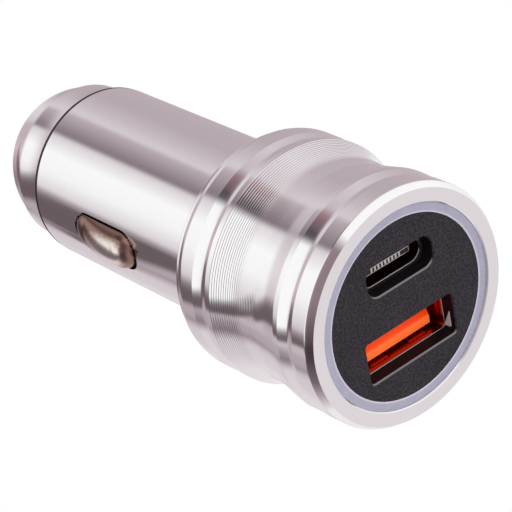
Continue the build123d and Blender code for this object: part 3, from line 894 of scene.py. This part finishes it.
# Smaller port: a drawn steel shell behind a narrow step of the face plate, and a thin black
# tongue. The ends of its contact pads show as a pale row along the tongue's front edge.
slim_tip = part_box("usb_c_tongue")[0].y
slim_shell_low, slim_shell_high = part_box("usb_c_shell")
slim_middle_z = (slim_shell_low.z + slim_shell_high.z) / 2
step_width = 9.4 * mm
step_height = 3.7 * mm
step_corner = 1.4 * mm
step_cover = 0.27 * mm
step_sheet = 0.12 * mm
pad_end_count = 9
pad_end_pitch = 0.5 * mm
pad_end_width = 0.26 * mm
pad_end_height = 0.5 * mm
pad_end_sheet = 0.04 * mm
pad_end_corner = 0.05 * mm
tip_width = 6.3 * mm
tip_height = 0.66 * mm
tip_corner = 0.12 * mm
tip_edge = 0.08 * mm
black_tongue = moulded(
    "black_tongue", (0.005, 0.005, 0.006, 1), (0.016, 0.015, 0.016, 1), 0.3, 0.001 * mm
)
finish_nodes(black_tongue, "usb_c_tongue")

step_shape = bmesh.new()
step_front = Vector((0, slim_shell_low.y - step_sheet, slim_middle_z))
step_place = Matrix.Translation(step_front) @ to_front
step_face = rounded_plate(step_shape, step_width, step_height, step_corner, step_place, lip_steps)
bmesh.ops.inset_region(
    step_shape, faces=[step_face], thickness=step_cover, use_boundary=True, use_even_offset=True
)
step_shape.faces.remove(step_face)
extrude(step_shape, step_shape.faces[:], (0, step_sheet, 0))
dress(make_piece(step_shape, "port_step"), black_tongue, "black_face", "housing")
slim_width = 2 * slim_shell_high.x - 2 * shell_wall + 2 * lip_width
slim_height = slim_shell_high.z - slim_shell_low.z - 2 * shell_wall + 2 * lip_width
rolled_lip("slim_port_lip", slim_width, slim_height, pill_round * slim_height, step_front)

ends_shape = bmesh.new()
tip_middle = Vector((0, slim_tip, slim_middle_z))
tip_place = Matrix.Translation(tip_middle) @ to_front
tip_face = rounded_plate(ends_shape, tip_width, tip_height, tip_corner, tip_place, steps=4)
bmesh.ops.inset_region(
    ends_shape, faces=[tip_face], thickness=tip_edge, use_boundary=True, use_even_offset=True
)
ends_shape.faces.remove(tip_face)
for column in range(pad_end_count):
    x = (column - pad_end_count / 2) * pad_end_pitch
    end_place = Matrix.Translation((x, 0, 0)) @ tip_place
    rounded_plate(ends_shape, pad_end_width, pad_end_height, pad_end_corner, end_place, steps=2)
extrude(ends_shape, ends_shape.faces[:], (0, -pad_end_sheet, 0))
pale_tin = plated("pale_tin", (0.86, 0.84, 0.82, 1), (0.50, 0.48, 0.47, 1), 0.3)
dress(make_piece(ends_shape, "tongue_pad_ends"), pale_tin, "gold_plate", "housing")

# Floor and studio: pale ground that the plug lies on, touching it with its collar and the end
# of its barrel, under long soft boxes that run along the plug.
rest_rise = (collar_radius - barrel_radius) / (barrel_end - head_back)
floor_reach = 3.0
floor_glow = 0.6
floor_shape = bmesh.new()
bmesh.ops.create_grid(floor_shape, x_segments=1, y_segments=1, size=floor_reach)
for corner in floor_shape.verts:
    corner.co.z = -collar_radius + rest_rise * (corner.co.y - head_back)
floor = make_piece(floor_shape, "floor")
floor_finish, start = new_finish("pale_floor")
light_path = start.node("LightPath", {}, {}, "Is Camera Ray")
underside = start.node("NewGeometry", {}, {}, "Backfacing")
ground = start.node("BsdfDiffuse", {}, {"Color": (0.9, 0.9, 0.9, 1)})
glow = start.node("Emission", {}, {"Color": (1, 1, 1, 1), "Strength": 1.0})
pale = start.node("MixShader", {}, {0: floor_glow * light_path, 1: ground, 2: glow})
clear = start.node("BsdfTransparent", {}, {})
seen_through = start.math("MAXIMUM", underside, light_path.output("Is Glossy Ray"))
shown = start.node("MixShader", {}, {0: seen_through, 1: pale, 2: clear})
start.node("OutputMaterial", {}, {"Surface": shown})
floor.data.materials.append(floor_finish)

studio = bpy.data.worlds.new("studio")
bpy.context.scene.world = studio
studio.use_nodes = True
studio.node_tree.nodes.clear()
start = Shade(studio.node_tree)
direction = start.node("TexCoord", {}, {}, "Generated")
axes = start.node("SeparateXYZ", {}, {"Vector": direction})
x, y, z = axes.output("X"), axes.output("Y"), axes.output("Z")

# The soft boxes and flags run out from a line behind the plug, below it and to its right, so
# each shows as a straight stripe along the turned metal
fan_x, fan_y, fan_z = 0.488, 0.712, -0.505
across, along, up = x - fan_x, y - fan_y, z - fan_z
reach = (across * across + up * up) ** 0.5
turns = start.math("ARCTAN2", up, across) * (0.5 / pi) + 1.0
turn = start.node("Math", {"operation": "FRACT"}, {0: turns})
tilt = start.math("ARCTAN2", along, reach) * (180 / pi)


def studio_light(light, warmth=0):
    """A grey of that light: neutral in a soft box, mauve in the dim room round it, or warmer."""
    tint = 0.16 * max(0, 1 - light)
    return (light * (1 + tint + 0.25 * warmth), light * (1 - tint), light * (1 - 0.05 * warmth), 1)


def stripes(*bands):
    """Light by the angle about the fan's line, from (degrees, light, warmth) bands."""
    stops = [(degrees / 360, studio_light(*light)) for degrees, *light in bands]
    return start.node("ValToRGB", {"stops": stops}, {"Fac": turn})


def blend(first, second, by, low, high):
    """From one light to another as a value goes from low to high."""
    return two_tone(smooth_share(by, low, high), first, second)


rear_wall = stripes(
    (0, 0.6), (60, 0.46), (94, 0.46), (106, 0.68), (112, 0.78), (121, 0.72), (126.5, 0.53),
    (138, 0.53, 0.2), (145, 0.58, 0.4), (152, 0.45, 0.5), (158, 0.36, 0.6), (165, 0.25, 0.5),
    (170, 0.27, 0.4), (175, 0.42), (185, 0.46), (192, 0.66), (200, 0.72), (210, 0.8), (300, 0.8),
    (360, 0.6),
)
key_box = stripes(
    (0, 0.6), (60, 0.49), (88, 0.49), (100, 0.6), (108, 0.73), (111, 0.5), (124.5, 0.22), (127, 0.76),
    (138, 1.1), (150, 1.05), (157, 0.88), (163, 0.7), (168, 0.6), (176, 0.58), (179, 0.47), (183, 0.45),
    (185.5, 0.34), (188.5, 0.58), (191.5, 0.68), (200, 0.7), (212, 0.8), (300, 0.8), (360, 0.6),
)
front_box = stripes(
    (0, 0.6), (60, 0.53), (90, 0.7), (107, 0.6), (111, 0.28, 1), (114, 0.2, 1), (118, 0.15, 0.6),
    (121, 0.09, -0.3), (124, 0.12, -0.6), (128, 1.1), (167.5, 1.1), (173, 0.2, -0.5), (176, 0.68),
    (179, 0.42), (184.5, 0.24), (190.5, 0.75), (212, 0.78), (300, 0.8), (360, 0.6),
)
camera_side = stripes(
    (0, 0.8), (60, 1.1), (116.5, 1.1), (119.5, 0.7), (123.5, 0.27, 0.3), (150, 0.24, 0.4),
    (172, 0.05, 0.4), (178, 0.06, 0.2), (184, 0.12), (191, 0.17), (200, 0.45), (211, 0.95), (300, 0.8),
    (360, 0.8),
)
# From the camera's side to the rear, each light takes over from the last between two tilts
all_round = studio_light(0.8)
for light, low, high in (
    (camera_side, -60, -42), (front_box, -33, -23), (key_box, -9, -2), (rear_wall, 8.5, 14.5),
):
    all_round = blend(all_round, light, tilt, low, high)
# Close to the fan's line the stripes would crowd, so an even light takes their place there
away = (across * across + along * along + up * up) ** 0.5
all_round = blend(studio_light(0.55), all_round, away, 0.08, 0.3)
camera_ray = start.node("LightPath", {}, {}, "Is Camera Ray")
straight = start.math("MAXIMUM", camera_ray, camera_ray.output("Is Transmission Ray"))
seen = two_tone(straight, all_round, (1, 1, 1, 1))
sky = start.node("Background", {}, {"Color": seen, "Strength": 1.0})
start.node("OutputWorld", {}, {"Surface": sky})

# A dark sheet on the floor behind the plug's left side, which only the metal shows: a painted
# reflection of shade on the floor, as the long dark streak low on the barrel. Three of its edges fade
# out, two of them at a slant
card_reach = 0.2
card_lift = 0.2 * mm
card_shape = bmesh.new()
bmesh.ops.create_grid(card_shape, x_segments=1, y_segments=1, size=card_reach)
for corner in card_shape.verts:
    corner.co.z = -collar_radius + rest_rise * (corner.co.y - head_back) + card_lift
card = make_piece(card_shape, "painted_floor_shade")
card_finish, start = new_finish("painted_floor_shade")
axes = start.node("SeparateXYZ", {}, {"Vector": start.node("TexCoord", {}, {}, "Object")})
left, back = -1.0 * axes.output("X"), axes.output("Y")
near_edge = smooth_share(back + 0.9 * left, 39 * mm, 48.5 * mm)
far_edge = smooth_share(left + 0.43 * back, 95 * mm, 47 * mm)
side_edge = smooth_share(left, 13 * mm, 16.5 * mm)
# Painted shade: a dark emission that only reflections show
dark = start.node("Emission", {}, {"Color": (0.155, 0.118, 0.13, 1), "Strength": 1.0})
clear = start.node("BsdfTransparent", {}, {})
shown = start.node("MixShader", {}, {0: near_edge * far_edge * side_edge, 1: clear, 2: dark})
start.node("OutputMaterial", {}, {"Surface": shown})
card.data.materials.append(card_finish)
card.visible_camera = card.visible_diffuse = card.visible_shadow = card.visible_transmission = False

# A soft lamp above the camera's left, which lights the face and reaches into the ports
lamp_place = Vector((-0.12, -0.28, 0.2))
lamp = bpy.data.lights.new("front_lamp", "AREA")
lamp.shape = "DISK"
lamp.size = 0.25
lamp.energy = 1.2
front_lamp = bpy.data.objects.new("front_lamp", lamp)
bpy.context.scene.collection.objects.link(front_lamp)
lamp_turn = lamp_place.to_track_quat("Z", "Y").to_matrix().to_4x4()
front_lamp.matrix_world = Matrix.Translation(lamp_place) @ lamp_turn
front_lamp.visible_glossy = False

bpy.context.scene.view_settings.view_transform = "Standard"

# Camera: a long lens, a little above the plug and turned towards its face, with a slight roll
camera_aim = Vector((-1.792, 0.766, -0.651)) * mm
camera_distance = 256.461 * mm
camera_heading = radians(34.401)
camera_rise = radians(30.310)
camera_roll = radians(11.560)
lens = bpy.data.cameras.new("camera")
lens.lens = 159.9
lens.sensor_width = 36
lens.clip_start = 10 * mm
camera = bpy.data.objects.new("camera", lens)
bpy.context.scene.collection.objects.link(camera)
backwards = Vector((
    -sin(camera_heading) * cos(camera_rise), -cos(camera_heading) * cos(camera_rise), sin(camera_rise)
))
facing = backwards.to_track_quat("Z", "Y").to_matrix().to_4x4()
camera.matrix_world = (
    Matrix.Translation(camera_aim + camera_distance * backwards)
    @ facing @ Matrix.Rotation(-camera_roll, 4, "Z")
)
bpy.context.scene.camera = camera
